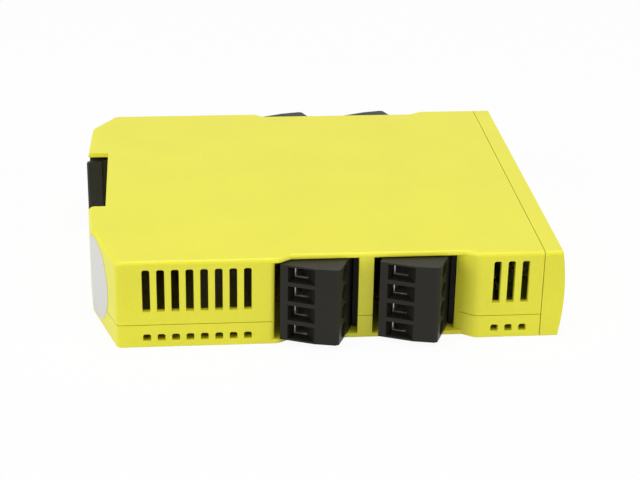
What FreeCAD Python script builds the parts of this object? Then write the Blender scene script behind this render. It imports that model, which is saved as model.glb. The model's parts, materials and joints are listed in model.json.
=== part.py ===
"""Slim rail-mounted safety relay, lying on its broad side.

+X runs from the rail side (rear) to the operator's front, Y runs between the two terminal
sides, and Z runs across the width. The origin is under the middle of the whole part. When
the relay is on its rail, -Y is the top and +Y the bottom. All sizes are in millimetres.
"""
import FreeCAD, Part
import math
import os

import Sketcher
from FreeCAD import Placement, Rotation, Vector

SIZES = [
    # housing
    ("body_width", 22.5, "across the two broad sides"),
    ("body_height", 99.0, "between the two terminal sides"),
    ("body_depth", 114.6, "from the rear plane to the rim of the front"),
    ("front_crown", 1.0, "how far the convex front stands out past its rim"),
    ("split_level", 6.05, "height of the joint between the two shells"),
    ("joint_gap", 0.18, "width of the groove that shows at a joint of the housing"),
    ("lip_inset", 0.7, "set-back of the lower shell's lip from the outline"),
    ("lip_height", 1.2, "height of that lip"),
    ("lip_play", 0.1, "play round the lip"),
    ("side_wall", 1.15, "thickness of the broad side walls"),
    ("edge_wall", 1.5, "thickness of the walls round the outline"),
    ("edge_round", 1.1, "rounding between the upper broad side and the outline"),
    ("lower_edge_round", 0.3, "rounding between the lower broad side and the outline"),
    ("corner_round", 1.6, "rounding of the rear corners"),
    ("top_slope_end", 8.1, "depth at which the slope of the top side ends"),
    ("top_slope_start", 29.3, "distance of its start from the middle"),
    ("top_slope_set", 2.0, "depth of its start"),
    ("heel_set", 1.0, "depth of the heel beside the rail notch"),
    ("bottom_slope_end", 6.85, "depth at which the slope of the bottom side ends"),
    ("bottom_slope_start", 39.9, "distance of its start from the middle"),
    ("bottom_slope_set", 0.75, "depth of its start"),
    ("waist_start", 46.6, "depth at which the waist for the plugs starts"),
    ("waist_length", 47.7, "length of the waist with both ramps"),
    ("waist_ramp", 2.9, "length of each ramp"),
    ("waist_inset", 2.0, "how far the waist is set in"),
    ("waist_round", 3.0, "rounding of the ramps' outer corners"),
    # rail notch and latch
    ("rail_height", 35.0, "height of the mounting rail"),
    ("rail_play", 0.5, "play of the rail in its notch"),
    ("notch_middle", 2.75, "offset of the notch from the middle"),
    ("notch_depth", 5.4, "depth of the notch floor"),
    ("hook_reach", 2.0, "how far the fixed hook reaches over the rail"),
    ("hook_thick", 2.4, "thickness of the fixed hook"),
    ("hook_set", 0.6, "set-back of the hook behind the heel"),
    ("hook_bevel", 0.9, "bevel at the tip of the hook"),
    ("hook_root", 0.5, "how far the hook runs into its wall"),
    ("hook_top", 18.5, "upper end of the fixed hook"),
    ("latch_overhang", 0.4, "how far the latch stands out behind the rear plane"),
    ("latch_reach", 1.2, "how far the latch's nose reaches into the notch"),
    ("latch_nose", 4.0, "thickness of the nose"),
    ("latch_travel", 4.0, "how far the latch draws back"),
    ("latch_block", 6.7, "length of the latch beside the notch up to its step"),
    ("latch_tail", 6.2, "length of the thin tail behind the step"),
    ("latch_play", 0.3, "play of the latch in its channel"),
    ("latch_side_play", 1.05, "gap between the latch and the broad walls"),
    ("latch_shoulder", 0.1, "distance of the nose's shoulder from the notch's end"),
    ("latch_recess", 0.4, "set-back of the block beside the notch"),
    ("latch_lead", 0.5, "bevel at the nose's outer edge"),
    ("latch_round", 0.6, "rounding at the two ends of the nose"),
    ("latch_cover", 2.0, "wall that covers the tail, measured from the rear plane"),
    ("driver_slot", 1.4, "width of the screwdriver slot in the latch"),
    ("driver_slot_length", 7.0, "length of that slot"),
    ("driver_slot_depth", 1.6, "depth of that slot"),
    ("driver_slot_set", 2.4, "distance of that slot from the notch's end"),
    ("spring_seat_wall", 1.2, "distance of the spring's seat from the latch's step"),
    ("spring_play", 0.1, "gap at each end of the spring"),
    ("spring_radius", 1.15, "mean radius of the latch spring"),
    ("spring_wire", 0.45, "wire of the latch spring"),
    ("spring_turns", 4.0, "turns of the latch spring"),
    # vents
    ("vent_width", 1.87, "width of a vent slot"),
    ("vent_pitch", 3.43, "pitch of the vent slots"),
    ("vent_corner", 0.35, "bevel of a slot's upper corners"),
    ("vent_low", 9.4, "lower end of the slots"),
    ("vent_high", 20.3, "upper end of the slots"),
    ("small_vent_low", 1.75, "lower end of the small vents"),
    ("small_vent_high", 3.5, "upper end of the small vents"),
    ("rear_vent_start", 14.25, "depth at which the rear vents start"),
    ("rear_vents", 8, "number of rear vents"),
    ("front_vent_set", 16.6, "distance of the front vents' start from the rim"),
    ("front_vents", 3, "number of front vents"),
    # front cap and light pipes
    ("cap_depth", 4.5, "depth of the front cap at its rim"),
    ("cap_front", 1.6, "thickness of its front"),
    ("cap_skirt", 3.0, "length of the skirt inside the shells"),
    ("skirt_wall", 1.1, "thickness of the skirt"),
    ("fit_play", 0.15, "play between moulded parts that slip together"),
    ("pipe_radius", 1.2, "radius of a light pipe"),
    ("pipe_pitch", 7.0, "pitch of the light pipes"),
    ("pipe_start", 36.0, "distance of the first pipe from the middle"),
    ("pipe_count", 4, "number of light pipes"),
    ("pipe_bar", 2.0, "thickness of the bar that joins the pipes"),
    ("pipe_bar_edge", 0.6, "how far the bar reaches past the pipes"),
    ("pipe_lamp_gap", 0.3, "gap between the bar and the lamps"),
    # plug openings
    ("opening_start", 45.6, "depth at which the rear opening starts"),
    ("opening_length", 20.2, "length of an opening"),
    ("opening_pitch", 23.75, "pitch of the openings"),
    ("opening_round", 1.35, "rounding of the openings' rear edge"),
    ("bevel_foot", 1.7, "start of the bevel at their front edge, from the ramp's outer end"),
    ("bevel_land", 0.1, "thickness that the bevel leaves of the wall"),
    # pluggable terminal blocks, in their own frame: wire face along u, insertion along v
    ("plug_gap", 1.2, "distance of a plug's leading corner from its opening's start"),
    ("plug_proud", 0.1, "how far that corner stands out past the terminal side"),
    ("plug_tilt", 20.0, "angle of the wire face, degrees"),
    ("plug_play", 0.15, "gap between a plug and the lower broad wall"),
    ("plug_top_play", 0.25, "gap between a plug and the upper broad wall"),
    ("plug_bend", 8.7, "where the wire face bends"),
    ("plug_bulge", 0.3, "how far it stands out at the bend"),
    ("plug_edge", 13.7, "where the wire face ends"),
    ("plug_edge_set", 0.4, "how far it is set back there"),
    ("plug_nose", 14.4, "start of the screw face"),
    ("plug_nose_set", 1.0, "how far that start is set back"),
    ("plug_wide", 14.8, "width of the plug at its widest"),
    ("plug_wide_set", 8.0, "where it is widest"),
    ("plug_length", 18.0, "length along the insertion"),
    ("pole_pitch", 5.0, "pitch of the poles"),
    ("poles", 4, "poles of a plug"),
    ("funnel_start", 1.7, "start of the wire funnel"),
    ("funnel_end", 8.9, "end of the wire funnel"),
    ("funnel_half", 2.0, "half height of the funnel's mouth"),
    ("funnel_depth", 2.6, "depth of the funnel"),
    ("funnel_overlap", 0.05, "how far the chamber runs into the funnel"),
    ("throat_start", 2.85, "start of the wire hole below the funnel"),
    ("throat_end", 6.2, "end of the wire hole"),
    ("throat_half", 1.65, "half height of the wire hole"),
    # clamp inside each pole
    ("cage_floor", 2.3, "outer face of the cage's floor when open"),
    ("cage_length", 6.6, "cage from its floor to its threaded wall"),
    ("cage_floor_wall", 0.8, "thickness of the floor"),
    ("cage_top_wall", 1.2, "thickness of the threaded wall"),
    ("cage_side_wall", 0.65, "thickness of the two side walls"),
    ("cage_half", 2.1, "half height of the cage"),
    ("cage_start", 2.8, "start of the cage along the insertion"),
    ("cage_depth", 3.8, "extent of the cage along the insertion"),
    ("cage_travel", 2.2, "how far the cage rises when its screw is tightened"),
    ("cage_play", 0.1, "play of the cage in its chamber"),
    ("screw_shank", 1.45, "radius of the clamp screw's shank"),
    ("screw_play", 0.15, "play round shank and head"),
    ("screw_head", 1.8, "radius of its head"),
    ("screw_head_thick", 1.6, "thickness of its head"),
    ("screw_head_gap", 0.1, "gap between its head and the seat"),
    ("screw_tip_gap", 0.2, "gap between its tip and the contact tongue"),
    ("screw_chamfer", 0.3, "chamfer of its tip"),
    ("screw_seat", 0.5, "thickness of the seat under its head"),
    ("screw_slot", 0.6, "width of its slot"),
    ("screw_slot_depth", 0.8, "depth of its slot"),
    # contacts and headers
    ("tongue_low", 6.3, "lower face of the contact tongue"),
    ("tongue_thick", 0.8, "thickness of the tongue"),
    ("tongue_half", 1.3, "half height of the tongue"),
    ("tongue_overlap", 0.5, "how far the tongue runs into its socket"),
    ("socket_start", 9.0, "start of the contact socket"),
    ("socket_end", 17.2, "end of the contact socket"),
    ("socket_half", 1.3, "half height and half width of the socket"),
    ("pin_side", 1.0, "side of a header pin"),
    ("pin_play", 0.15, "play round a header pin"),
    ("pin_start", 11.2, "tip of a header pin"),
    ("pin_tip_gap", 0.3, "gap at the tip of a header pin"),
    ("pin_fit", 0.05, "gap round a pin in the header's back"),
    ("pin_hole", 0.8, "radius of a pin's hole in the board"),
    ("header_start", 11.5, "front edge of the header's side walls"),
    ("header_gap", 0.4, "gap between plug and header back"),
    ("header_wall", 1.2, "thickness of the header's side walls"),
    ("header_back", 2.0, "thickness of the header's back"),
    ("header_play", 0.2, "play between plug and header walls"),
    ("leg_set", 5.6, "distance of the first pin's leg from the header's back"),
    ("leg_step", 2.0, "step from one leg to the next"),
    # board and what it carries
    ("board_low", 1.5, "underside of the board"),
    ("board_thick", 1.6, "thickness of the board"),
    ("board_start", 9.5, "depth of the board's rear edge"),
    ("board_front_gap", 0.6, "gap between the board and the cap's skirt"),
    ("board_side_gap", 2.0, "gap between the board and the terminal sides' walls"),
    ("neck_gap", 1.6, "gap between the board's wide ends and what the plugs need"),
    ("neck_side_gap", 0.55, "gap between the board's neck and the headers"),
    ("post_inset", 4.5, "distance of the posts from the board's corners"),
    ("post_radius", 2.2, "radius of a post"),
    ("peg_radius", 1.2, "radius of the peg on it"),
    ("post_root", 0.2, "how far a post runs into the broad wall"),
    ("relay_length", 48.0, "length of a relay"),
    ("relay_width", 13.0, "width of a relay"),
    ("relay_height", 15.5, "height of a relay"),
    ("relay_start", 42.0, "depth at which the relays start"),
    ("relay_gap", 3.0, "gap between the two relays"),
    ("capacitor_radius", 5.0, "radius of a capacitor"),
    ("capacitor_height", 14.0, "height of a capacitor"),
    ("capacitor_start", 22.0, "depth of the capacitors' axes"),
    ("capacitor_gap", 2.0, "gap between the two capacitors"),
    ("chip_side", 9.0, "side of a chip"),
    ("chip_thick", 1.4, "thickness of a chip"),
    ("chip_gap", 9.0, "gap between the two chips"),
    ("chip_set", 3.0, "distance of the chips from the relays"),
    ("lamp_length", 3.0, "length of a status lamp"),
    ("lamp_height", 1.6, "height of a status lamp"),
    ("lamp_width", 2.0, "width of a status lamp"),
    ("lamp_set", 0.5, "distance of the lamps from the board's front edge"),
]

doc = FreeCAD.newDocument("SafetyRelay")
sheet = doc.addObject("Spreadsheet::Sheet", "Sizes")


class Size:
    """A length known both as an expression of the sheet's cells and as its present value."""

    def __init__(self, text, value):
        self.text = text
        self.value = value

    def join(self, other, sign, value):
        return Size(f"({self.text} {sign} {size_of(other).text})", value)

    def __add__(self, other):
        return self.join(other, "+", self.value + size_of(other).value)

    def __sub__(self, other):
        return self.join(other, "-", self.value - size_of(other).value)

    def __mul__(self, other):
        return self.join(other, "*", self.value * size_of(other).value)

    def __truediv__(self, other):
        return self.join(other, "/", self.value / size_of(other).value)

    def __radd__(self, other):
        return size_of(other) + self

    def __rsub__(self, other):
        return size_of(other) - self

    def __rmul__(self, other):
        return size_of(other) * self

    def __neg__(self):
        return size_of(0) - self


def size_of(item):
    """The item itself if it is a Size, or a Size that stands for a plain number."""
    return item if isinstance(item, Size) else Size(str(item), item)


class Cells:
    """The sheet's cells as Size attributes."""


cells = Cells()
for row, (alias, value, note) in enumerate(SIZES, start=1):
    sheet.set(f"A{row}", alias)
    sheet.set(f"B{row}", str(value))
    sheet.set(f"C{row}", note)
    sheet.setAlias(f"B{row}", alias)
    setattr(cells, alias, Size(f"Sizes.{alias}", value))
doc.recompute()

CUT_OVER = 1.0          # how far a cut runs past the material it goes through
TRIG = {"cos": math.cos, "sin": math.sin}

half_height = cells.body_height / 2
rear_x = cells.latch_overhang - (cells.latch_overhang + cells.body_depth + cells.front_crown) / 2
front_x = rear_x + cells.body_depth
cap_x = front_x - cells.cap_depth
inner_top = cells.body_width - cells.side_wall
notch_low = cells.notch_middle - (cells.rail_height + cells.rail_play) / 2
notch_high = cells.notch_middle + (cells.rail_height + cells.rail_play) / 2
waist_end = cells.waist_start + cells.waist_length
front_opening = cells.opening_start + cells.opening_pitch
board_top = cells.board_low + cells.board_thick
board_end = cells.body_depth - cells.cap_depth - cells.cap_skirt - cells.board_front_gap
board_half = half_height - cells.edge_wall - cells.board_side_gap
plug_low = cells.side_wall + cells.plug_play
plug_high = inner_top - cells.plug_top_play
plug_height = plug_high - plug_low
plug_reach = half_height + cells.plug_proud
plug_start = cells.opening_start + cells.plug_gap
pole_low = (plug_height - cells.pole_pitch * (cells.poles - 1)) / 2
chamber_top = cells.cage_floor + cells.cage_length + cells.cage_travel + cells.cage_play
screw_seat_top = chamber_top + cells.screw_seat
tongue_middle = cells.tongue_low + cells.tongue_thick / 2
header_end = cells.plug_length + cells.header_gap + cells.header_back
header_edge = cells.header_play + cells.header_wall


# ---------------------------------------------------------------- document helpers


def bind(item, name, size):
    """Drive one property from the sheet."""
    item.setExpression(name, size_of(size).text)


def turned(function, angle):
    """Cosine or sine of an angle kept in degrees."""
    return Size(f"{function}({angle.text} * 1 deg)", TRIG[function](math.radians(angle.value)))


def corner_shift(run, rise):
    """Shift along a straight side of its corner with a slope, for each unit of inset."""
    squares = run * run + rise * rise
    return (Size(f"sqrt({squares.text})", math.sqrt(squares.value)) - run) / rise


def new_body(label, placement=None):
    body = doc.addObject("PartDesign::Body", label)
    body.Label = label
    if placement:
        body.Placement = placement
    return body


def origin_item(body, role):
    return next(item for item in body.Origin.OriginFeatures if item.Role == role)


def new_sketch(body, plane, offset=0):
    """A sketch on one of the body's own origin planes, moved along its normal."""
    sketch = body.newObject("Sketcher::SketchObject", f"{body.Name}_sketch")
    sketch.AttachmentSupport = [(origin_item(body, plane), "")]
    sketch.MapMode = "FlatFace"
    bind(sketch, "AttachmentOffset.Base.z", offset)
    return sketch


def hold_point(sketch, geometry, end, x, y):
    """Fix a point of the sketch at two driven distances from the sketch's origin."""
    for kind, axis, size in (("DistanceX", -2, size_of(x)), ("DistanceY", -1, size_of(y))):
        if size.text in ("0", "0.0"):
            sketch.addConstraint(Sketcher.Constraint("PointOnObject", geometry, end, axis))
            continue
        held = Sketcher.Constraint(kind, -1, 1, geometry, end, size.value)
        index = sketch.addConstraint(held)
        bind(sketch, f"Constraints[{index}]", size)


def draw_polygon(sketch, points, closed=True):
    """Straight sides from point to point, every point held; returns the first side."""
    points = [(size_of(x), size_of(y)) for x, y in points]
    first = sketch.GeometryCount
    corners = [Vector(x.value, y.value, 0) for x, y in points]
    ends = corners[1:] + corners[:1] if closed else corners[1:]
    for start, end in zip(corners, ends):
        sketch.addGeometry(Part.LineSegment(start, end))
    count = len(ends)
    for side in range(count if closed else count - 1):
        following = first + (side + 1) % count
        sketch.addConstraint(Sketcher.Constraint("Coincident", first + side, 2, following, 1))
    for side, (x, y) in enumerate(points[:count]):
        hold_point(sketch, first + side, 1, x, y)
    if not closed:
        hold_point(sketch, first + count - 1, 2, *points[-1])
    return first


def draw_rectangle(sketch, x_low, y_low, x_high, y_high):
    draw_polygon(sketch, [(x_low, y_low), (x_high, y_low), (x_high, y_high), (x_low, y_high)])


def draw_circle(sketch, x, y, radius):
    x, y, radius = size_of(x), size_of(y), size_of(radius)
    centre = Vector(x.value, y.value, 0)
    circle = sketch.addGeometry(Part.Circle(centre, Vector(0, 0, 1), radius.value))
    hold_point(sketch, circle, 3, x, y)
    index = sketch.addConstraint(Sketcher.Constraint("Radius", circle, radius.value))
    bind(sketch, f"Constraints[{index}]", radius)


def extrude(body, kind, sketch, length, midplane=False, reverse=False):
    """A Pad or Pocket of the sketch."""
    feature = body.newObject(f"PartDesign::{kind}", f"{body.Name}_{kind.lower()}")
    feature.Profile = sketch
    bind(feature, "Length", length)
    feature.Midplane = midplane
    feature.Reversed = reverse
    body.Tip = feature
    return feature


def repeat(body, features, axis, step, count):
    """Copies of the features along one of the body's own axes."""
    pattern = body.newObject("PartDesign::LinearPattern", f"{body.Name}_row")
    pattern.Originals = features
    pattern.Direction = (origin_item(body, axis), [""])
    bind(pattern, "Length", step * (count - 1))
    bind(pattern, "Occurrences", count)
    body.Tip = pattern
    return pattern


def round_edges(body, radius, chosen):
    """Fillet the edges of the body's present shape that the test chooses."""
    doc.recompute()
    base = body.Tip
    names = [f"Edge{i}" for i, edge in enumerate(base.Shape.Edges, start=1) if chosen(edge)]
    fillet = body.newObject("PartDesign::Fillet", f"{body.Name}_fillet")
    fillet.Base = (base, names)
    bind(fillet, "Radius", radius)
    body.Tip = fillet
    return fillet


def near(value, target, slack=0.01):
    return abs(value - target.value) < slack


def is_upright(edge):
    ends = [vertex.Point for vertex in edge.Vertexes]
    return len(ends) == 2 and (ends[0] - ends[1]).cross(Vector(0, 0, 1)).Length < 0.001


def box(name, low, high):
    """A Part box between two driven corners."""
    item = doc.addObject("Part::Box", name)
    for axis, side, start, end in zip("xyz", ("Length", "Width", "Height"), low, high):
        bind(item, side, size_of(end) - start)
        bind(item, f"Placement.Base.{axis}", start)
    return item


def boolean(kind, name, base, tool):
    item = doc.addObject(f"Part::{kind}", name)
    item.Base = base
    item.Tool = tool
    return item


def group(label, solids, placement=None):
    """Several separate solids that share one sub-part."""
    item = doc.addObject("Part::Compound", label)
    item.Label = label
    item.Links = solids
    if placement:
        item.Placement = placement
    return item


# ---------------------------------------------------------------- housing


def outline(inset, front, floor_far):
    """Corners of the housing's outline, moved inwards by the wall that inset stands for.

    floor_far is where the floor of the rail notch ends: at the notch's far wall outside, and
    at the bottom side's slope inside, because the inner wall runs on under the latch.
    """
    c = cells
    ramp = inset * corner_shift(c.waist_ramp, c.waist_inset)
    top_run = c.top_slope_end - c.top_slope_set
    top_shift = corner_shift(top_run, half_height - c.top_slope_start)
    bottom_run = c.bottom_slope_end - c.bottom_slope_set
    bottom_shift = corner_shift(bottom_run, half_height - c.bottom_slope_start)
    side = half_height - inset
    waist = side - c.waist_inset
    inner_floor = rear_x + c.notch_depth + inset
    top = [
        (rear_x + c.top_slope_end + inset * top_shift, -side),
        (rear_x + c.waist_start - ramp, -side),
        (rear_x + c.waist_start + c.waist_ramp - ramp, -waist),
        (rear_x + waist_end - c.waist_ramp + ramp, -waist),
        (rear_x + waist_end + ramp, -side),
        (front, -side),
    ]
    bottom = [
        (front, side),
        (rear_x + waist_end + ramp, side),
        (rear_x + waist_end - c.waist_ramp + ramp, waist),
        (rear_x + c.waist_start + c.waist_ramp - ramp, waist),
        (rear_x + c.waist_start - ramp, side),
        (rear_x + c.bottom_slope_end + inset * bottom_shift, side),
    ]
    rear = [
        (inner_floor, notch_low - inset),
        (rear_x + c.heel_set + inset, notch_low - inset),
        (rear_x + c.top_slope_set + inset, -c.top_slope_start),
    ]
    return top + bottom + floor_far(inner_floor) + rear


def outer_corners(inset=0, front=cap_x):
    """The outline with its corner beside the latch, set in for the lip of the joint."""
    c = cells
    return outline(
        inset,
        front,
        lambda floor: [
            (rear_x + c.bottom_slope_set + inset, c.bottom_slope_start),
            (rear_x + inset, notch_high + inset),
            (floor, notch_high + inset),
        ],
    )


def inner_corners():
    """The cavity, whose wall behind the notch runs on to the slope of the bottom side."""
    c = cells
    run = c.bottom_slope_end - c.bottom_slope_set
    rise = half_height - c.bottom_slope_start
    corner = rear_x + c.bottom_slope_end + c.edge_wall * corner_shift(run, rise)
    side = half_height - c.edge_wall
    return outline(
        c.edge_wall,
        cap_x + CUT_OVER,
        lambda floor: [(floor, side - (corner - floor) * rise / run)],
    )


def latch_channel():
    """Corners of the channel that the latch slides in, open to the rear over its block."""
    c = cells
    open_end = notch_high + c.latch_block + c.latch_travel + c.latch_play
    tail_end = open_end + c.latch_tail
    floor = rear_x + c.notch_depth
    return [
        (rear_x - CUT_OVER, notch_high - CUT_OVER),
        (floor, notch_high - CUT_OVER),
        (floor, tail_end),
        (rear_x + c.latch_cover, tail_end),
        (rear_x + c.latch_cover, open_end),
        (rear_x - CUT_OVER, open_end),
    ]


def vent_row(body, start, count, low, high):
    """A row of vents through both terminal sides."""
    c = cells
    sketch = new_sketch(body, "XZ_Plane")
    left, right = rear_x + start, rear_x + start + c.vent_width
    corner = c.vent_corner
    draw_polygon(
        sketch,
        [
            (left, low),
            (right, low),
            (right, high - corner),
            (right - corner, high),
            (left + corner, high),
            (left, high - corner),
        ],
    )
    slot = extrude(body, "Pocket", sketch, c.body_height + CUT_OVER, midplane=True)
    repeat(body, [slot], "X_Axis", c.vent_pitch, count)


def cut_plug_openings(body):
    c = cells
    sketch = new_sketch(body, "XZ_Plane")
    for place in range(2):
        left = rear_x + c.opening_start + c.opening_pitch * place
        draw_rectangle(sketch, left, c.side_wall, left + c.opening_length, inner_top)
    extrude(body, "Pocket", sketch, c.body_height + CUT_OVER, midplane=True)
    round_edges(
        body,
        c.opening_round,
        lambda edge: is_upright(edge)
        and near(edge.CenterOfMass.x, rear_x + c.opening_start)
        and near(abs(edge.CenterOfMass.y), half_height),
    )


def bevel_openings(body, inner_level, height, opens_down):
    """The front edge of the front openings, bevelled in line with the waist's ramp."""
    c = cells
    foot = rear_x + waist_end - c.bevel_foot
    foot_inset = c.bevel_foot * c.waist_inset / c.waist_ramp
    edge = rear_x + front_opening + c.opening_length
    edge_inset = c.waist_inset + c.edge_wall - c.bevel_land
    sketch = new_sketch(body, "XY_Plane", inner_level)
    for side in (-1, 1):
        inner, outer = (half_height - edge_inset) * side, (half_height + CUT_OVER) * side
        draw_polygon(
            sketch,
            [
                (foot, (half_height - foot_inset) * side),
                (edge, inner),
                (edge - CUT_OVER, inner),
                (edge - CUT_OVER, outer),
                (foot, outer),
            ],
        )
    extrude(body, "Pocket", sketch, height, reverse=not opens_down)


def make_shell(label, low, high, outer_level, inner_level, edge_round, opens_down):
    """One half of the housing, from its broad side to the joint between the halves."""
    c = cells
    body = new_body(label)
    sketch = new_sketch(body, "XY_Plane", low)
    draw_polygon(sketch, outer_corners())
    extrude(body, "Pad", sketch, high - low)

    round_edges(
        body,
        c.corner_round,
        lambda edge: is_upright(edge)
        and edge.CenterOfMass.x < (rear_x + c.top_slope_end).value + 0.01
        and not near(edge.CenterOfMass.x, rear_x + c.notch_depth)
        and not near(edge.CenterOfMass.y, notch_high),
    )
    round_edges(
        body,
        c.waist_round,
        lambda edge: is_upright(edge)
        and near(abs(edge.CenterOfMass.y), half_height)
        and (
            near(edge.CenterOfMass.x, rear_x + c.waist_start)
            or near(edge.CenterOfMass.x, rear_x + waist_end)
        ),
    )
    round_edges(
        body,
        edge_round,
        lambda edge: near(edge.BoundBox.ZMin, outer_level)
        and near(edge.BoundBox.ZMax, outer_level)
        and not (near(edge.BoundBox.XMin, cap_x) and near(edge.BoundBox.XMax, cap_x))
        and not (
            edge.BoundBox.YMin > notch_low.value - 0.01
            and edge.BoundBox.YMax < notch_high.value + 0.01
        ),
    )

    cut_plug_openings(body)
    bevel_openings(body, inner_level, high - low + CUT_OVER, opens_down)
    cavity = new_sketch(body, "XY_Plane", inner_level)
    draw_polygon(cavity, inner_corners())
    extrude(body, "Pocket", cavity, high - low + CUT_OVER, reverse=not opens_down)
    channel = new_sketch(body, "XY_Plane", inner_level)
    draw_polygon(channel, latch_channel())
    extrude(body, "Pocket", channel, high - low + CUT_OVER, reverse=not opens_down)
    return body


def make_upper_shell():
    c = cells
    body = make_shell(
        "upper_shell", c.split_level, c.body_width, c.body_width, inner_top, c.edge_round, True
    )
    rebate = new_sketch(body, "XY_Plane", c.split_level)
    draw_polygon(rebate, outer_corners(c.lip_inset - c.lip_play, cap_x + CUT_OVER))
    extrude(body, "Pocket", rebate, c.lip_height, reverse=True)
    vent_row(body, c.rear_vent_start, c.rear_vents, c.vent_low, c.vent_high)
    front_start = c.body_depth - c.front_vent_set
    vent_row(body, front_start, c.front_vents, c.vent_low, c.vent_high)

    hook = new_sketch(body, "XY_Plane", c.split_level)
    hook_x = rear_x + c.heel_set + c.hook_set
    root, tip = notch_low - c.hook_root, notch_low + c.hook_reach
    draw_polygon(
        hook,
        [
            (hook_x, root),
            (hook_x, tip - c.hook_bevel),
            (hook_x + c.hook_bevel, tip),
            (hook_x + c.hook_thick, tip),
            (hook_x + c.hook_thick, root),
        ],
    )
    extrude(body, "Pad", hook, c.hook_top - c.split_level)
    return body


def make_lower_shell():
    c = cells
    lip_top = c.split_level + c.lip_height
    ground = size_of(0)
    body = make_shell(
        "lower_shell", ground, lip_top, ground, c.side_wall, c.lower_edge_round, False
    )
    joint = new_sketch(body, "XY_Plane", c.split_level - c.joint_gap)
    reach = c.body_depth + c.body_height
    draw_rectangle(joint, -reach, -reach, reach, reach)
    draw_polygon(joint, outer_corners(c.lip_inset, cap_x + CUT_OVER))
    extrude(body, "Pocket", joint, c.lip_height + CUT_OVER, reverse=True)
    vent_row(body, c.rear_vent_start, c.rear_vents, c.small_vent_low, c.small_vent_high)
    front_start = c.body_depth - c.front_vent_set
    vent_row(body, front_start, c.front_vents, c.small_vent_low, c.small_vent_high)

    for radius, top in ((c.post_radius, c.board_low), (c.peg_radius, board_top)):
        posts = new_sketch(body, "XY_Plane", c.side_wall - c.post_root)
        for x, y in post_places():
            draw_circle(posts, x, y, radius)
        extrude(body, "Pad", posts, top - c.side_wall + c.post_root)
    return body


def post_places():
    c = cells
    return [
        (x, y)
        for x in (rear_x + c.board_start + c.post_inset, rear_x + board_end - c.post_inset)
        for y in (c.post_inset - board_half, board_half - c.post_inset)
    ]


def make_front_cap():
    """The front cap: a convex lid with a skirt that slips into the two shells."""
    c = cells
    body = new_body("front_cap")
    profile = new_sketch(body, "XZ_Plane")
    top = c.body_width
    first = draw_polygon(profile, [(front_x, top), (cap_x, top), (cap_x, 0), (front_x, 0)], False)
    crest = Vector((front_x + c.front_crown).value, top.value / 2, 0)
    rim = front_x.value
    arc = profile.addGeometry(Part.Arc(Vector(rim, 0, 0), crest, Vector(rim, top.value, 0)))
    profile.addConstraint(Sketcher.Constraint("Coincident", first + 2, 2, arc, 1))
    profile.addConstraint(Sketcher.Constraint("Coincident", arc, 2, first, 1))
    radius = top * top / 8 / c.front_crown + c.front_crown / 2
    index = profile.addConstraint(Sketcher.Constraint("Radius", arc, radius.value))
    bind(profile, f"Constraints[{index}]", radius)
    extrude(body, "Pad", profile, c.body_height, midplane=True)
    for level, radius in ((c.body_width, c.edge_round), (size_of(0), c.lower_edge_round)):
        round_edges(
            body,
            radius,
            lambda edge: near(abs(edge.CenterOfMass.y), half_height)
            and near(edge.CenterOfMass.z, level)
            and near(edge.BoundBox.XMin, cap_x)
            and near(edge.BoundBox.XMax, front_x),
        )
    joint = new_sketch(body, "YZ_Plane", cap_x - CUT_OVER)
    reach = c.body_height + c.body_width
    draw_rectangle(joint, -reach, -reach, reach, reach)
    seat_y = half_height - c.lip_inset
    draw_rectangle(joint, -seat_y, c.lip_inset, seat_y, c.body_width - c.lip_inset)
    extrude(body, "Pocket", joint, c.joint_gap + CUT_OVER, reverse=True)

    skirt_y = half_height - c.edge_wall - c.fit_play
    skirt_low = c.side_wall + c.fit_play
    skirt_high = inner_top - c.fit_play
    skirt = new_sketch(body, "YZ_Plane", cap_x)
    draw_rectangle(skirt, -skirt_y, skirt_low, skirt_y, skirt_high)
    extrude(body, "Pad", skirt, c.cap_skirt, reverse=True)
    hollow = new_sketch(body, "YZ_Plane", cap_x - c.cap_skirt - CUT_OVER)
    wall = c.skirt_wall
    draw_rectangle(hollow, wall - skirt_y, skirt_low + wall, skirt_y - wall, skirt_high - wall)
    depth = c.cap_depth - c.cap_front + c.cap_skirt + CUT_OVER
    extrude(body, "Pocket", hollow, depth, reverse=True)

    holes = new_sketch(body, "YZ_Plane", cap_x)
    draw_circle(holes, -c.pipe_start, c.body_width / 2, c.pipe_radius + c.pin_play)
    hole = extrude(body, "Pocket", holes, c.cap_depth + c.front_crown + CUT_OVER, reverse=True)
    repeat(body, [hole], "Y_Axis", c.pipe_pitch, c.pipe_count)
    return body


def make_light_pipes():
    """Clear light pipes on one moulded bar that stands over the status lamps."""
    c = cells
    body = new_body("light_pipes")
    bar_back = rear_x + board_end - c.lamp_length
    bar = new_sketch(body, "YZ_Plane", bar_back)
    bar_low = board_top + c.lamp_height + c.pipe_lamp_gap
    first = -c.pipe_start
    last = first + c.pipe_pitch * (c.pipe_count - 1)
    reach = c.pipe_radius + c.pipe_bar_edge
    draw_rectangle(bar, first - reach, bar_low, last + reach, c.body_width / 2 + reach)
    extrude(body, "Pad", bar, c.pipe_bar)
    pipe = new_sketch(body, "YZ_Plane", bar_back + c.pipe_bar / 2)
    draw_circle(pipe, first, c.body_width / 2, c.pipe_radius)
    length = front_x + c.front_crown - bar_back - c.pipe_bar / 2
    rod = extrude(body, "Pad", pipe, length)
    repeat(body, [rod], "Y_Axis", c.pipe_pitch, c.pipe_count)
    return body


# ---------------------------------------------------------------- rail latch


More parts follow.
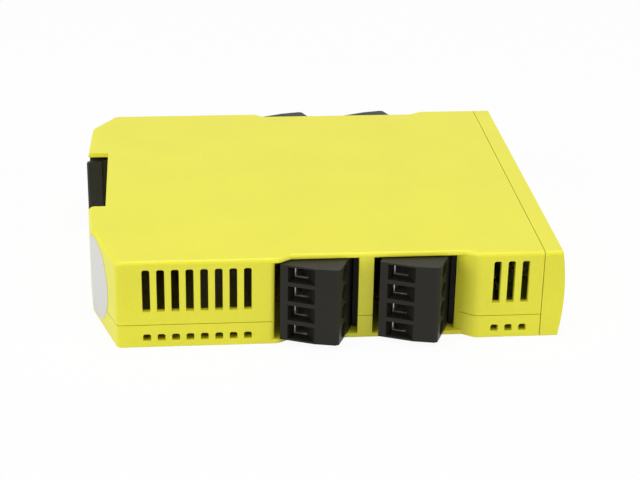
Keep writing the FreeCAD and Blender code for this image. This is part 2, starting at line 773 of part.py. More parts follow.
def make_rail_latch():
    c = cells
    body = new_body("rail_latch")
    low, high = c.side_wall + c.latch_side_play, inner_top - c.latch_side_play
    back = rear_x - c.latch_overhang
    nose_y = notch_high - c.latch_reach
    shoulder_y = notch_high - c.latch_shoulder
    face_y = notch_high + c.latch_play
    step_y = notch_high + c.latch_block
    tail_y = step_y + c.latch_tail
    under = back + c.latch_nose
    floor = rear_x + c.notch_depth - c.latch_play
    profile = new_sketch(body, "XY_Plane", low)
    draw_polygon(
        profile,
        [
            (back, nose_y + c.latch_lead),
            (back + c.latch_lead, nose_y),
            (under, nose_y),
            (under, face_y),
            (floor, face_y),
            (floor, tail_y),
            (rear_x + c.latch_cover + c.latch_play, tail_y),
            (rear_x + c.latch_cover + c.latch_play, step_y),
            (rear_x + c.latch_recess, step_y),
            (rear_x + c.latch_recess, shoulder_y),
            (back, shoulder_y),
        ],
    )
    extrude(body, "Pad", profile, high - low)
    round_edges(
        body,
        c.latch_round,
        lambda edge: near(edge.BoundBox.XMin, back)
        and near(edge.BoundBox.XMax, back)
        and edge.BoundBox.YLength > c.latch_lead.value
        and edge.BoundBox.ZLength < 0.01,
    )
    middle = c.body_width / 2
    slot = new_sketch(body, "YZ_Plane", rear_x - CUT_OVER)
    slot_y = notch_high + c.driver_slot_set
    half_slot = c.driver_slot_length / 2
    draw_rectangle(slot, slot_y, middle - half_slot, slot_y + c.driver_slot, middle + half_slot)
    depth = CUT_OVER + c.latch_recess + c.driver_slot_depth
    extrude(body, "Pocket", slot, depth, reverse=True)
    window = new_sketch(body, "XY_Plane", middle)
    draw_rectangle(window, rear_x + c.latch_cover, spring_seat(), floor + CUT_OVER, tail_y + CUT_OVER)
    half_window = c.spring_radius + c.spring_wire / 2 + c.latch_play
    extrude(body, "Pocket", window, half_window * 2, midplane=True)
    return body


def spring_seat():
    """Where the latch's spring bears on the latch."""
    return notch_high + cells.latch_block + cells.spring_seat_wall


def make_latch_spring():
    """A compression spring between the latch and the far end of its channel."""
    c = cells
    start = spring_seat() + c.spring_wire / 2 + c.spring_play
    end = notch_high + c.latch_block + c.latch_tail + c.latch_travel + c.latch_play
    length = end - start - c.spring_wire / 2 - c.spring_play
    coil = doc.addObject("Part::Helix", "spring_coil")
    bind(coil, "Pitch", length / c.spring_turns)
    bind(coil, "Height", length)
    bind(coil, "Radius", c.spring_radius)
    wire = doc.addObject("Part::RegularPolygon", "spring_section")
    wire.Polygon = 8
    bind(wire, "Circumradius", c.spring_wire / 2)
    bind(wire, "Placement.Base.x", c.spring_radius)
    wire.Placement.Rotation = Rotation(Vector(1, 0, 0), 90)
    item = doc.addObject("Part::Sweep", "latch_spring")
    item.Label = "latch_spring"
    item.Sections = [wire]
    item.Spine = coil
    item.Solid = True
    item.Frenet = True
    axis_x = rear_x + (c.latch_cover + c.notch_depth) / 2
    place = Vector(axis_x.value, start.value, c.body_width.value / 2)
    item.Placement = Placement(place, Rotation(Vector(1, 0, 0), -90))
    return item


# ---------------------------------------------------------------- pluggable terminal blocks


def plug_frame(side, place):
    """Placement of a plug's own frame: side is top or bottom, place is 0 for the rear one."""
    c = cells
    corner_x = (rear_x + plug_start + c.opening_pitch * place).value
    tilt = Rotation(Vector(0, 0, 1), -c.plug_tilt.value)
    if side == "top":
        return Placement(Vector(corner_x, -plug_reach.value, plug_low.value), tilt)
    flip = Rotation(Vector(1, 0, 0), 180)
    return Placement(Vector(corner_x, plug_reach.value, plug_high.value), flip * tilt)


def make_plug(label, frame):
    """Moulded body of a pluggable block, in its own frame."""
    c = cells
    body = new_body(label, frame)
    profile = new_sketch(body, "XY_Plane")
    draw_polygon(
        profile,
        [
            (size_of(0), size_of(0)),
            (c.plug_bend, -c.plug_bulge),
            (c.plug_edge, c.plug_edge_set),
            (c.plug_nose, c.plug_nose_set),
            (c.plug_wide, c.plug_wide_set),
            (c.plug_wide, c.plug_length),
            (size_of(0), c.plug_length),
        ],
    )
    extrude(body, "Pad", profile, plug_height)

    mouth = new_sketch(body, "XZ_Plane", c.plug_bulge * 2)
    draw_rectangle(
        mouth, c.funnel_start, pole_low - c.funnel_half, c.funnel_end, pole_low + c.funnel_half
    )
    throat = new_sketch(body, "XZ_Plane", -c.funnel_depth)
    draw_rectangle(
        throat, c.throat_start, pole_low - c.throat_half, c.throat_end, pole_low + c.throat_half
    )
    funnel = body.newObject("PartDesign::SubtractiveLoft", f"{body.Name}_funnel")
    funnel.Profile = mouth
    funnel.Sections = [throat]
    funnel.Ruled = True
    body.Tip = funnel

    chamber = new_sketch(body, "XY_Plane", pole_low)
    draw_rectangle(
        chamber,
        c.cage_floor - c.cage_play,
        c.funnel_depth - c.funnel_overlap,
        chamber_top,
        c.cage_start + c.cage_depth + c.cage_play,
    )
    room = extrude(body, "Pocket", chamber, (c.cage_half + c.cage_play) * 2, midplane=True)

    contact = new_sketch(body, "XY_Plane", pole_low)
    slot_low = c.tongue_low - c.cage_play
    slot_high = c.tongue_low + c.tongue_thick + c.cage_play
    middle = tongue_middle
    socket = c.socket_half + c.cage_play
    draw_polygon(
        contact,
        [
            (slot_low, c.cage_start + c.cage_depth),
            (slot_high, c.cage_start + c.cage_depth),
            (slot_high, c.socket_start - c.cage_play),
            (middle + socket, c.socket_start - c.cage_play),
            (middle + socket, c.plug_length + CUT_OVER),
            (middle - socket, c.plug_length + CUT_OVER),
            (middle - socket, c.socket_start - c.cage_play),
            (slot_low, c.socket_start - c.cage_play),
        ],
    )
    bed = extrude(body, "Pocket", contact, socket * 2, midplane=True)

    well = new_sketch(body, "XY_Plane", pole_low)
    axis_v = c.cage_start + c.cage_depth / 2
    seat = screw_seat_top
    shank, head = c.screw_shank + c.screw_play, c.screw_head + c.screw_play
    draw_polygon(
        well,
        [
            (chamber_top - c.cage_play, axis_v),
            (c.plug_wide + CUT_OVER, axis_v),
            (c.plug_wide + CUT_OVER, axis_v + head),
            (seat, axis_v + head),
            (seat, axis_v + shank),
            (chamber_top - c.cage_play, axis_v + shank),
        ],
    )
    bore = body.newObject("PartDesign::Groove", f"{body.Name}_bore")
    bore.Profile = well
    bore.ReferenceAxis = (well, ["Edge1"])
    bore.Angle = 360
    body.Tip = bore
    repeat(body, [funnel, room, bed, bore], "Z_Axis", c.pole_pitch, c.poles)
    return body


def pole_frame(frame, pole):
    """Placement of one pole: the plug's frame moved to the middle of that pole."""
    level = (pole_low + cells.pole_pitch * pole).value
    return frame.multiply(Placement(Vector(0, 0, level), Rotation()))


def make_clamp_screw(label, frame):
    """Captive slotted clamp screw, its axis along the plug's width."""
    c = cells
    axis_v = (c.cage_start + c.cage_depth / 2).value
    body = new_body(label, frame.multiply(Placement(Vector(0, axis_v, 0), Rotation())))
    head_low = screw_seat_top + c.screw_head_gap
    head_top = head_low + c.screw_head_thick
    tip = c.tongue_low + c.tongue_thick + c.screw_tip_gap
    profile = new_sketch(body, "XY_Plane")
    draw_polygon(
        profile,
        [
            (tip, size_of(0)),
            (head_top, size_of(0)),
            (head_top, c.screw_head),
            (head_low, c.screw_head),
            (head_low, c.screw_shank),
            (tip + c.screw_chamfer, c.screw_shank),
            (tip, c.screw_shank - c.screw_chamfer),
        ],
    )
    turned_blank = body.newObject("PartDesign::Revolution", f"{body.Name}_blank")
    turned_blank.Profile = profile
    turned_blank.ReferenceAxis = (profile, ["Edge1"])
    turned_blank.Angle = 360
    body.Tip = turned_blank
    slot = new_sketch(body, "XY_Plane")
    half = c.screw_slot / 2
    draw_rectangle(slot, head_top - c.screw_slot_depth, -half, head_top + CUT_OVER, half)
    extrude(body, "Pocket", slot, c.screw_head * 2 + CUT_OVER, midplane=True)
    return body


def make_clamp_cage(label, frame):
    """Rising cage that draws the wire against the contact tongue."""
    c = cells
    top = c.cage_floor + c.cage_length
    end = c.cage_start + c.cage_depth
    inner = c.cage_half - c.cage_side_wall
    block = box(f"{label}_block", (c.cage_floor, c.cage_start, -c.cage_half), (top, end, c.cage_half))
    room = box(
        f"{label}_room",
        (c.cage_floor + c.cage_floor_wall, c.cage_start - CUT_OVER, -inner),
        (top - c.cage_top_wall, end + CUT_OVER, inner),
    )
    hole = doc.addObject("Part::Cylinder", f"{label}_hole")
    bind(hole, "Radius", c.screw_shank + c.cage_play)
    bind(hole, "Height", c.cage_top_wall + CUT_OVER * 2)
    hole.Placement.Rotation = Rotation(Vector(0, 1, 0), 90)
    bind(hole, "Placement.Base.x", top - c.cage_top_wall - CUT_OVER)
    bind(hole, "Placement.Base.y", c.cage_start + c.cage_depth / 2)
    ring = boolean("Cut", f"{label}_ring", block, room)
    item = boolean("Cut", label, ring, hole)
    item.Label = label
    item.Placement = frame
    return item


def make_contacts(label, frame):
    """One contact for each pole: a tongue under the screw and a socket for the header's pin."""
    c = cells
    middle = tongue_middle
    hole = c.pin_side / 2 + c.pin_play
    solids = []
    for pole in range(c.poles.value):
        name = f"{label}_{pole + 1}"
        tongue = box(
            f"{name}_tongue",
            (c.tongue_low, c.cage_start + c.cage_play, -c.tongue_half),
            (c.tongue_low + c.tongue_thick, c.socket_start + c.tongue_overlap, c.tongue_half),
        )
        socket = box(
            f"{name}_socket",
            (middle - c.socket_half, c.socket_start, -c.socket_half),
            (middle + c.socket_half, c.socket_end, c.socket_half),
        )
        mouth = box(
            f"{name}_mouth",
            (middle - hole, c.pin_start - c.pin_tip_gap, -hole),
            (middle + hole, c.socket_end + CUT_OVER, hole),
        )
        strip = boolean("Fuse", f"{name}_strip", tongue, socket)
        contact = boolean("Cut", name, strip, mouth)
        bind(contact, "Placement.Base.z", pole_low + c.pole_pitch * pole)
        solids.append(contact)
    return group(label, solids, frame)


def make_header(label, frame):
    """The socket that a plug slides into, soldered to the board by its pins."""
    c = cells
    body = new_body(label, frame)
    left, right = -c.header_play, c.plug_wide + c.header_play
    back = c.plug_length + c.header_gap
    profile = new_sketch(body, "XY_Plane", c.header_play)
    draw_polygon(
        profile,
        [
            (left - c.header_wall, c.header_start),
            (left, c.header_start),
            (left, back),
            (right, back),
            (right, c.header_start),
            (right + c.header_wall, c.header_start),
            (right + c.header_wall, header_end),
            (left - c.header_wall, header_end),
        ],
    )
    extrude(body, "Pad", profile, plug_height - c.header_play * 2)
    hole = new_sketch(body, "XY_Plane", pole_low)
    middle = tongue_middle
    half = c.pin_side / 2 + c.pin_fit
    draw_rectangle(hole, middle - half, back - CUT_OVER, middle + half, header_end + CUT_OVER)
    passage = extrude(body, "Pocket", hole, half * 2, midplane=True)
    repeat(body, [passage], "Z_Axis", c.pole_pitch, c.poles)
    return body


def make_header_pins(label, frame, side):
    """Angled pins: each runs back from its pole and turns down through the board."""
    c = cells
    middle = tongue_middle
    half = c.pin_side / 2
    solids = []
    for pole in range(c.poles.value):
        name = f"{label}_{pole + 1}"
        level = pole_low + c.pole_pitch * pole
        rank = pole if side == "top" else c.poles.value - 1 - pole
        leg_v = header_end + c.leg_set + c.leg_step * rank
        if side == "top":
            low, high = c.board_low - plug_low, level + half
        else:
            low, high = level - half, plug_high - c.board_low
        run = box(
            f"{name}_run",
            (middle - half, c.pin_start, level - half),
            (middle + half, leg_v + half, level + half),
        )
        leg = box(
            f"{name}_leg",
            (middle - half, leg_v - half, low),
            (middle + half, leg_v + half, high),
        )
        solids.append(boolean("Fuse", name, run, leg))
    return group(label, solids, frame)


# ---------------------------------------------------------------- board and components


def leg_places():
    """Where the legs of all header pins go through the board."""
    c = cells
    cosine, sine = turned("cos", c.plug_tilt), turned("sin", c.plug_tilt)
    places = []
    for place in range(2):
        corner = rear_x + plug_start + c.opening_pitch * place
        for rank in range(c.poles.value):
            leg_v = header_end + c.leg_set + c.leg_step * rank
            x = corner + tongue_middle * cosine + leg_v * sine
            y = -plug_reach - tongue_middle * sine + leg_v * cosine
            places += [(x, y), (x, -y)]
    return places


def board_corners():
    """The board's outline: wide under the vents, with a neck between the headers."""
    c = cells
    cosine, sine = turned("cos", c.plug_tilt), turned("sin", c.plug_tilt)
    rear, front = rear_x + c.board_start, rear_x + board_end
    neck_rear = rear_x + c.opening_start - c.neck_gap
    header_front = (c.plug_wide + header_edge) * cosine + header_end * sine
    neck_front = rear_x + plug_start + c.opening_pitch + header_front + c.neck_gap
    neck = plug_reach - header_end * cosine - header_edge * sine - c.neck_side_gap
    half = board_half
    return [
        (rear, -half),
        (neck_rear, -half),
        (neck_rear, -neck),
        (neck_front, -neck),
        (neck_front, -half),
        (front, -half),
        (front, half),
        (neck_front, half),
        (neck_front, neck),
        (neck_rear, neck),
        (neck_rear, half),
        (rear, half),
    ]


def make_board():
    c = cells
    body = new_body("main_board")
    blank = new_sketch(body, "XY_Plane", c.board_low)
    draw_polygon(blank, board_corners())
    extrude(body, "Pad", blank, c.board_thick)
    holes = new_sketch(body, "XY_Plane", board_top + CUT_OVER)
    for x, y in post_places():
        draw_circle(holes, x, y, c.peg_radius + c.fit_play)
    for x, y in leg_places():
        draw_circle(holes, x, y, c.pin_hole)
    extrude(body, "Pocket", holes, c.board_thick + CUT_OVER * 2)
    return body


def make_relay(label, side):
    """A sealed relay with guided contacts; side is -1 or 1 for its place about the middle."""
    c = cells
    body = new_body(label)
    inner = c.relay_gap / 2 * side
    outer = inner + c.relay_width * side
    start = rear_x + c.relay_start
    case = new_sketch(body, "XY_Plane", board_top)
    low, high = (outer, inner) if side < 0 else (inner, outer)
    draw_rectangle(case, start, low, start + c.relay_length, high)
    extrude(body, "Pad", case, c.relay_height)
    round_edges(
        body,
        c.edge_round,
        lambda edge: is_upright(edge) or near(edge.BoundBox.ZMin, board_top + c.relay_height),
    )
    return body


def make_capacitors():
    c = cells
    cans = []
    for place, side in enumerate((-1, 1), start=1):
        can = doc.addObject("Part::Cylinder", f"capacitor_{place}")
        bind(can, "Radius", c.capacitor_radius)
        bind(can, "Height", c.capacitor_height)
        bind(can, "Placement.Base.x", rear_x + c.capacitor_start)
        bind(can, "Placement.Base.y", (c.capacitor_radius + c.capacitor_gap / 2) * side)
        bind(can, "Placement.Base.z", board_top)
        cans.append(can)
    return group("capacitors", cans)


def make_chips():
    """The two processors, one for each channel."""
    c = cells
    chips = []
    start = rear_x + c.relay_start + c.relay_length + c.chip_set
    for place, side in enumerate((-1, 1), start=1):
        low = (c.chip_side + c.chip_gap) / 2 * side - c.chip_side / 2
        chips.append(
            box(
                f"chip_{place}",
                (start, low, board_top),
                (start + c.chip_side, low + c.chip_side, board_top + c.chip_thick),
            )
        )
    return group("control_chips", chips)


def make_lamps():
    c = cells
    lamps = []
    end = rear_x + board_end - c.lamp_set
    half = c.lamp_width / 2
    for place in range(c.pipe_count.value):
        middle = c.pipe_pitch * place - c.pipe_start
        lamps.append(
            box(
                f"lamp_{place + 1}",
                (end - c.lamp_length, middle - half, board_top),
                (end, middle + half, board_top + c.lamp_height),
            )
        )
    return group("status_lamps", lamps)


# ---------------------------------------------------------------- assembly

parts = [
    make_upper_shell(),
    make_lower_shell(),
    make_front_cap(),
    make_light_pipes(),
    make_rail_latch(),
    make_latch_spring(),
    make_board(),
    make_relay("safety_relay_1", -1),
    make_relay("safety_relay_2", 1),
    make_capacitors(),
    make_chips(),
    make_lamps(),
]
for side in ("top", "bottom"):
    for place, end in enumerate(("rear", "front")):
        where = f"{side}_{end}"
        frame = plug_frame(side, place)
        parts.append(make_plug(f"plug_{where}", frame))
        parts.append(make_contacts(f"contacts_{where}", frame))
        parts.append(make_header(f"header_{where}", frame))
        parts.append(make_header_pins(f"header_pins_{where}", frame, side))
        for pole in range(cells.poles.value):
            spot = pole_frame(frame, pole)
            parts.append(make_clamp_screw(f"clamp_screw_{where}_{pole + 1}", spot))
            parts.append(make_clamp_cage(f"clamp_cage_{where}_{pole + 1}", spot))

doc.recompute()
failed = [item.Name for item in doc.Objects if {"Invalid", "Error"} & set(item.State)]
failed += [item.Label for item in parts if item.Shape.isNull() or not item.Shape.isValid()]
if failed:
    raise RuntimeError(f"these objects failed: {failed}")

os.makedirs("parts", exist_ok=True)
for item in parts:
    item.Shape.exportStep(f"parts/{item.Label}.step")
print(f"{len(parts)} sub-parts written")
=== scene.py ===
"""Looks of a slim rail-mounted safety relay that lies on its broad side.

Lengths are in metres. +X runs from the rail side to the operator's front, Y between the two
terminal sides, and +Z up across the width.
"""

import json
import math

import bpy
from mathutils import Matrix, Vector


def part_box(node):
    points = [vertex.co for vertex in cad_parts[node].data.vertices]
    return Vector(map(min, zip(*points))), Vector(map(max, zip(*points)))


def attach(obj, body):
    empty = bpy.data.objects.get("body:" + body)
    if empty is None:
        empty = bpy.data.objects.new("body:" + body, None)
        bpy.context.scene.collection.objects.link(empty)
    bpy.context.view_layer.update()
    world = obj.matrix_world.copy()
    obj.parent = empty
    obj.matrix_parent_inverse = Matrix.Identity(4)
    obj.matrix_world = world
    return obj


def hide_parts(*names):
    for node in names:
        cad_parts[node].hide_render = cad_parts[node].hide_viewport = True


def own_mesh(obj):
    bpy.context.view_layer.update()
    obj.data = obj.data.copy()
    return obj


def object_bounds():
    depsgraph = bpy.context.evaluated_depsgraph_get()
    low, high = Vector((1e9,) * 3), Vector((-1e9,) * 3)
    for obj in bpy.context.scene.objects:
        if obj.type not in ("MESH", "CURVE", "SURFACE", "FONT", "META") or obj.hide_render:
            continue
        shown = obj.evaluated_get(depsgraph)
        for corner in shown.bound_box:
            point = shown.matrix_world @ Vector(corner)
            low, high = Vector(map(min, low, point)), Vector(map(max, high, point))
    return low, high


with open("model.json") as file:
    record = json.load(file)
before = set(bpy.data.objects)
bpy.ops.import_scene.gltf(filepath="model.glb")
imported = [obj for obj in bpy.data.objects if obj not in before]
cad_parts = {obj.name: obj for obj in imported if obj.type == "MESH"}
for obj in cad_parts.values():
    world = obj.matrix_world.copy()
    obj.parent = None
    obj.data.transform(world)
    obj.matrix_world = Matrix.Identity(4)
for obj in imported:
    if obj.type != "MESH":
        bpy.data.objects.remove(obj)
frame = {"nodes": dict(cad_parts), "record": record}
cad_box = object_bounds()

MM = 0.001
nodes_of_frame = frame["nodes"]
WHITE = (1.0, 1.0, 1.0, 1.0)


# ---------------------------------------------------------------- finishes


class Finish:
    """A node material that reads the piece's own Object coordinates."""

    def __init__(self, name, colour, roughness):
        self.material = bpy.data.materials.new(name)
        self.material.use_nodes = True
        self.tree = self.material.node_tree
        self.shader = self.tree.nodes["Principled BSDF"]
        self.shader.inputs["Base Color"].default_value = (*colour, 1.0)
        self.shader.inputs["Roughness"].default_value = roughness
        self.place = self.tree.nodes.new("ShaderNodeTexCoord").outputs["Object"]
        self.material.diffuse_color = (*colour, 1.0)

    def node(self, kind, **sockets):
        made = self.tree.nodes.new(kind)
        for name, value in sockets.items():
            socket = made.inputs[name.replace("_", " ")]
            if isinstance(value, bpy.types.NodeSocket):
                self.tree.links.new(value, socket)
            else:
                socket.default_value = value
        return made

    def link(self, output, name):
        self.tree.links.new(output, self.shader.inputs[name])

    def noise(self, size, detail=2.0, place=None):
        """Grey cloud whose patches are about this size in metres."""
        made = self.node("ShaderNodeTexNoise", Vector=place or self.place, Scale=1.0 / size, Detail=detail)
        return made.outputs["Fac"]

    def spread(self, grey, low, high, start=0.3, end=0.7):
        """A number that goes from low to high as the grey goes from start to end."""
        made = self.node(
            "ShaderNodeMapRange", Value=grey, From_Min=start, From_Max=end, To_Min=low, To_Max=high
        )
        return made.outputs["Result"]

    def ramp(self, grey, stops):
        """Colours at the given places of the grey."""
        made = self.node("ShaderNodeValToRGB", Fac=grey)
        elements = made.color_ramp.elements
        while len(elements) < len(stops):
            elements.new(0.5)
        for element, (position, colour) in zip(elements, stops):
            element.position = position
            element.color = (*colour, 1.0)
        return made.outputs["Color"]

    def mix(self, factor, first, second, blend="MIX"):
        made = self.node("ShaderNodeMix")
        made.data_type = "RGBA"
        made.blend_type = blend
        for socket, value in ((0, factor), (6, first), (7, second)):
            if isinstance(value, bpy.types.NodeSocket):
                self.tree.links.new(value, made.inputs[socket])
            else:
                made.inputs[socket].default_value = value
        return made.outputs[2]

    def relief(self, height, depth, strength=1.0):
        """Raise the surface by the grey height, at most by depth in metres."""
        made = self.node("ShaderNodeBump", Height=height, Distance=depth, Strength=strength)
        self.link(made.outputs["Normal"], "Normal")


def shade(colour, factor):
    return tuple(min(1.0, part * factor) for part in colour)


def moulded_plastic(name, colour, roughness, grain, gloss=0.5, drift=0.04):
    """Injection moulded plastic: fine spark-eroded grain and a slight drift of its colour."""
    finish = Finish(name, colour, roughness)
    drift_grey = finish.noise(18 * MM, 3.0)
    speck_grey = finish.noise(0.35 * MM, 1.0)
    drifting = finish.ramp(drift_grey, [(0.35, shade(colour, 1 - drift)), (0.65, shade(colour, 1 + drift))])
    speckled = finish.ramp(speck_grey, [(0.3, (0.965, 0.965, 0.965)), (0.7, (1.0, 1.0, 1.0))])
    finish.link(finish.mix(1.0, drifting, speckled, "MULTIPLY"), "Base Color")
    finish.link(finish.spread(speck_grey, roughness - 0.05, roughness + 0.06), "Roughness")
    finish.shader.inputs["Specular IOR Level"].default_value = gloss
    finish.relief(finish.noise(0.16 * MM, 2.0), grain)
    return finish.material


def plated_metal(name, colour, roughness, grain_size):
    """Plated metal with the fine drawn grain and dull patches of a zinc or tin coat."""
    finish = Finish(name, colour, roughness)
    finish.shader.inputs["Metallic"].default_value = 1.0
    patches = finish.noise(0.9 * MM, 3.0)
    finish.link(finish.ramp(patches, [(0.3, shade(colour, 0.88)), (0.7, colour)]), "Base Color")
    finish.link(finish.spread(patches, roughness - 0.08, roughness + 0.1), "Roughness")
    finish.relief(finish.noise(grain_size, 1.0), 0.004 * MM)
    return finish.material


def clear_moulding(name):
    finish = Finish(name, (0.95, 0.97, 0.95), 0.06)
    finish.shader.inputs["Transmission Weight"].default_value = 0.9
    finish.shader.inputs["IOR"].default_value = 1.49
    clouds = finish.noise(2.5 * MM, 2.0)
    finish.link(finish.ramp(clouds, [(0.3, (0.90, 0.93, 0.90)), (0.7, (0.97, 0.98, 0.97))]), "Base Color")
    finish.link(finish.spread(clouds, 0.04, 0.12), "Roughness")
    finish.relief(finish.noise(0.5 * MM, 1.0), 0.002 * MM)
    return finish.material


def resist_with_painted_bounce(name):
    """Olive-brown resist over copper: fields of tracks stand up as slightly lighter bands. The brown is
    partly the board's own colour and partly painted light, the yellow light that bounces off and shines
    through the housing's walls.
    """
    # painted bounce light: the resist's brown stands in part for yellow light from the housing's inner
    # walls
    resist, over_copper_with_bounce = (0.360, 0.280, 0.060), (0.440, 0.350, 0.080)
    finish = Finish(name, resist, 0.32)
    tracks = finish.node(
        "ShaderNodeTexBrick",
        Vector=finish.place,
        Scale=260.0,
        Mortar_Size=0.018,
        Mortar_Smooth=0.1,
        Bias=0.0,
        Color1=(0.0, 0.0, 0.0, 1.0),
        Color2=(0.1, 0.1, 0.1, 1.0),
        Mortar=WHITE,
    ).outputs["Color"]
    finish.link(finish.ramp(tracks, [(0.2, resist), (0.8, over_copper_with_bounce)]), "Base Color")
    finish.link(finish.spread(finish.noise(1.5 * MM), 0.26, 0.4), "Roughness")
    finish.relief(tracks, 0.03 * MM)
    return finish.material


def label_paper(name):
    """White coated paper of the round label."""
    paper = (0.69, 0.685, 0.66)
    finish = Finish(name, paper, 0.5)
    fibres = finish.noise(0.25 * MM, 4.0)
    finish.link(finish.ramp(fibres, [(0.3, shade(paper, 0.96)), (0.7, shade(paper, 1.02))]), "Base Color")
    finish.link(finish.spread(fibres, 0.42, 0.55), "Roughness")
    finish.relief(finish.noise(0.4 * MM, 3.0), 0.006 * MM)
    return finish.material


YELLOW = (0.836, 0.797, 0.037)
FINISHES = {
    "housing_yellow": moulded_plastic("housing_yellow", YELLOW, 0.42, 0.012 * MM, drift=0.015),
    "plug_black": moulded_plastic("plug_black", (0.014, 0.013, 0.009), 0.42, 0.012 * MM, gloss=0.22),
    "header_black": moulded_plastic("header_black", (0.013, 0.012, 0.009), 0.5, 0.012 * MM, gloss=0.22),
    "latch_black": moulded_plastic("latch_black", (0.013, 0.013, 0.010), 0.45, 0.012 * MM, gloss=0.3),
    # relay case: its brown tint is partly its own colour and partly painted bounce light from the yellow
    # housing walls
    "relay_case": moulded_plastic("relay_case", (0.24, 0.20, 0.12), 0.4, 0.01 * MM),
    "capacitor_sleeve": moulded_plastic("capacitor_sleeve", (0.012, 0.012, 0.016), 0.25, 0.004 * MM),
    "chip_black": moulded_plastic("chip_black", (0.014, 0.014, 0.015), 0.55, 0.02 * MM),
    "lamp_lens": moulded_plastic("lamp_lens", (0.62, 0.70, 0.55), 0.2, 0.003 * MM),
    "clear_plastic": clear_moulding("clear_plastic"),
    "spring_steel": plated_metal("spring_steel", (0.56, 0.56, 0.55), 0.3, 0.08 * MM),
    "zinc_steel": plated_metal("zinc_steel", (0.66, 0.66, 0.64), 0.34, 0.12 * MM),
    "tinned_copper": plated_metal("tinned_copper", (0.72, 0.70, 0.66), 0.3, 0.12 * MM),
    "board_green": resist_with_painted_bounce("board_green"),
    "label_paper": label_paper("label_paper"),
}

for part in frame["record"]["subparts"]:
    piece = nodes_of_frame[part["node"]]
    piece.data.materials.clear()
    piece.data.materials.append(FINISHES[part["material_slot"]])


# ---------------------------------------------------------------- spring and round label


def start_fresh():
    """Leave edit mode and deselect everything."""
    if bpy.context.mode != "OBJECT":
        bpy.ops.object.mode_set(mode="OBJECT")
    bpy.ops.object.select_all(action="DESELECT")


def select_faces(piece, wanted):
    """In edit mode, select only the faces whose middle passes the test."""
    bpy.ops.mesh.select_mode(type="FACE")
    bpy.ops.mesh.select_all(action="DESELECT")
    bpy.ops.object.mode_set(mode="OBJECT")
    for face in piece.data.polygons:
        face.select = wanted(face.center)
    bpy.ops.object.mode_set(mode="EDIT")


def settle(piece):
    """Put the piece's place into its mesh, so that its object sits unturned at the origin."""
    start_fresh()
    piece.select_set(True)
    bpy.context.view_layer.objects.active = piece
    bpy.ops.object.transform_apply(location=True, rotation=True, scale=True)
    return piece


SPRING_MERGE = 0.001 * MM            # distance at which the copy's doubled points are joined


def return_spring():
    """The latch's spring, shown by a copy of its node with doubled points merged, fixed to the housing."""
    node = nodes_of_frame["latch_spring"]
    spring = node.copy()
    spring.data = node.data.copy()
    spring.name = "return_spring"
    bpy.context.scene.collection.objects.link(spring)
    settle(spring)
    bpy.ops.object.mode_set(mode="EDIT")
    bpy.ops.mesh.select_all(action="SELECT")
    bpy.ops.mesh.remove_doubles(threshold=SPRING_MERGE)
    bpy.ops.object.mode_set(mode="OBJECT")
    bpy.ops.object.shade_smooth_by_angle(angle=math.radians(50))
    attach(spring, "housing")
    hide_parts("latch_spring")
    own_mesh(spring)


return_spring()


LABEL_RADIUS = 10.35 * MM
LABEL_THICK = 0.08 * MM
LABEL_LIFT = 0.015 * MM              # glue under the paper
LABEL_RIM = 0.02 * MM
LABEL_HEIGHT = 11.1 * MM             # of its middle over the lower broad side
LABEL_SHIFT = 3.65 * MM              # of its middle from the slope's rear corner
LABEL_FOLDS = ((-0.18 * MM, 0.25), (0.0, 0.5), (0.18 * MM, 0.25))    # place of each fold, share of the turn
SLOPE_CORNER = (2.0 * MM, -29.3 * MM)    # the slope's rear corner: X from the rear plane, and Y
SLOPE_RUN = (6.1, -20.2, 0.0)
REAR_RUN = (-1.0, 14.3, 0.0)


def round_label():
    """Round paper label on the slope behind the vents, bent over the slope's rear corner."""
    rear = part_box("lower_shell")[0][0]
    corner = Vector((rear + SLOPE_CORNER[0], SLOPE_CORNER[1], 0.0))
    along = Vector(SLOPE_RUN).normalized()
    outward = Vector((along.y, -along.x, 0.0))
    beyond = Vector(REAR_RUN).normalized()
    turn = (-along).angle(beyond)
    middle = corner + along * LABEL_SHIFT + Vector((0, 0, LABEL_HEIGHT))
    start_fresh()
    bpy.ops.mesh.primitive_cylinder_add(
        vertices=96,
        radius=LABEL_RADIUS,
        depth=LABEL_THICK,
        location=middle + outward * (LABEL_LIFT + LABEL_THICK / 2),
        rotation=(0, math.pi / 2, math.atan2(outward.y, outward.x)),
    )
    label = settle(bpy.context.object)
    label.name = "round_label"
    bpy.ops.object.mode_set(mode="EDIT")
    bpy.ops.mesh.select_mode(type="EDGE")
    bpy.ops.mesh.select_all(action="SELECT")
    bpy.ops.mesh.edges_select_sharp(sharpness=math.radians(60))
    bpy.ops.mesh.bevel(offset=LABEL_RIM, segments=2)
    for place, share in LABEL_FOLDS:
        hinge = corner + along * place
        bpy.ops.mesh.select_all(action="SELECT")
        bpy.ops.mesh.bisect(plane_co=hinge, plane_no=along)
        select_faces(label, lambda spot: along.dot(spot - hinge) < 0)
        bpy.ops.transform.rotate(value=turn * share, orient_axis="Z", center_override=hinge)
    settle(label)
    bpy.ops.object.shade_smooth_by_angle(angle=math.radians(30))
    label.data.materials.append(FINISHES["label_paper"])
    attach(label, "housing")


round_label()


# ---------------------------------------------------------------- studio


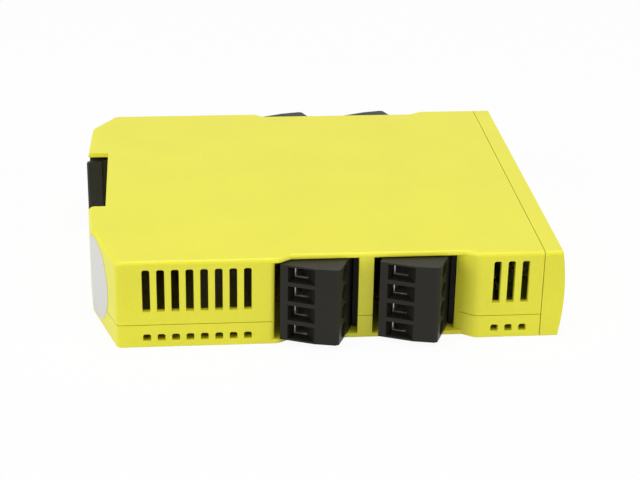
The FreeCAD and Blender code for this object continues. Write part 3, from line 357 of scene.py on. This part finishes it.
def studio_floor():
    """Pale floor that shows white to the camera and keeps a soft shadow."""
    start_fresh()
    bpy.ops.mesh.primitive_plane_add(size=6.0, location=(0, 0, cad_box[0][2] - 0.02 * MM))
    floor = bpy.context.object
    floor.name = "floor"
    material = bpy.data.materials.new("floor_white")
    material.use_nodes = True
    tree = material.node_tree
    shader = tree.nodes["Principled BSDF"]
    shader.inputs["Base Color"].default_value = (0.88, 0.88, 0.88, 1.0)
    shader.inputs["Roughness"].default_value = 0.9
    shader.inputs["Specular IOR Level"].default_value = 0.1
    glow = tree.nodes.new("ShaderNodeEmission")
    seen = seen_rays(tree, FLOOR_GLOW)
    both = tree.nodes.new("ShaderNodeMixShader")
    tree.links.new(seen, both.inputs["Fac"])
    tree.links.new(shader.outputs["BSDF"], both.inputs[1])
    tree.links.new(glow.outputs["Emission"], both.inputs[2])
    tree.links.new(both.outputs["Shader"], tree.nodes["Material Output"].inputs["Surface"])
    floor.data.materials.append(material)


def seen_rays(tree, amount):
    """amount for camera, glossy and transmission rays, and nothing for the others."""
    path = tree.nodes.new("ShaderNodeLightPath")
    seen = path.outputs["Is Camera Ray"]
    for name in ("Is Glossy Ray", "Is Transmission Ray"):
        either = tree.nodes.new("ShaderNodeMath")
        either.operation = "MAXIMUM"
        tree.links.new(seen, either.inputs[0])
        tree.links.new(path.outputs[name], either.inputs[1])
        seen = either.outputs["Value"]
    scaled = tree.nodes.new("ShaderNodeMath")
    scaled.operation = "MULTIPLY"
    tree.links.new(seen, scaled.inputs[0])
    scaled.inputs[1].default_value = amount
    return scaled.outputs["Value"]


FLOOR_GLOW = 0.94
SKY_LIGHT = 0.22
LAMP_AIM = (0, 0, 0.01)
LAMPS = (
    ("key", (0.0, -0.05, 0.95), 0.7, 5.5),
    ("left", (-0.80, -0.45, 0.35), 0.6, 3.9),
    ("right", (0.80, -0.45, 0.35), 0.6, 3.0),
)
CAMERA_PLACE = (-38.69, -409.83, 190.96)    # millimetres
CAMERA_ANGLES = (5.890, 24.342, 1.0717)     # degrees: yaw, dip and roll
CAMERA_LENS = 95.49


def studio_sky():
    world = bpy.data.worlds.new("studio")
    world.use_nodes = True
    bpy.context.scene.world = world
    tree = world.node_tree
    background = tree.nodes["Background"]
    background.inputs["Color"].default_value = WHITE
    strength = tree.nodes.new("ShaderNodeMath")
    strength.operation = "ADD"
    tree.links.new(seen_rays(tree, 1.0 - SKY_LIGHT), strength.inputs[0])
    strength.inputs[1].default_value = SKY_LIGHT
    tree.links.new(strength.outputs["Value"], background.inputs["Strength"])


def soft_box(name, place, aim, width, power):
    """A square area lamp at a place, turned towards its aim."""
    lamp = bpy.data.lights.new(name, "AREA")
    lamp.size = width
    lamp.energy = power
    holder = bpy.data.objects.new(name, lamp)
    bpy.context.scene.collection.objects.link(holder)
    holder.location = place
    holder.rotation_euler = (Vector(aim) - Vector(place)).to_track_quat("-Z", "Y").to_euler()


def studio_camera():
    """Camera above the near terminal side, with the relay's front to the right."""
    yaw, dip, roll = (math.radians(angle) for angle in CAMERA_ANGLES)
    ahead = Vector((math.sin(yaw) * math.cos(dip), math.cos(yaw) * math.cos(dip), -math.sin(dip)))
    level = Vector((math.cos(yaw), -math.sin(yaw), 0))
    upright = level.cross(ahead)
    right = level * math.cos(roll) + upright * math.sin(roll)
    up = upright * math.cos(roll) - level * math.sin(roll)
    data = bpy.data.cameras.new("camera")
    data.sensor_width = 36.0
    data.lens = CAMERA_LENS
    data.clip_start = 0.01
    holder = bpy.data.objects.new("camera", data)
    bpy.context.scene.collection.objects.link(holder)
    turn = Matrix((right, up, -ahead)).transposed().to_4x4()
    holder.matrix_world = Matrix.Translation(Vector(CAMERA_PLACE) * MM) @ turn
    bpy.context.scene.camera = holder


studio_floor()
studio_sky()
for lamp_name, lamp_place, lamp_width, lamp_power in LAMPS:
    soft_box(lamp_name, lamp_place, LAMP_AIM, lamp_width, lamp_power)
studio_camera()
bpy.context.scene.view_settings.view_transform = "Standard"
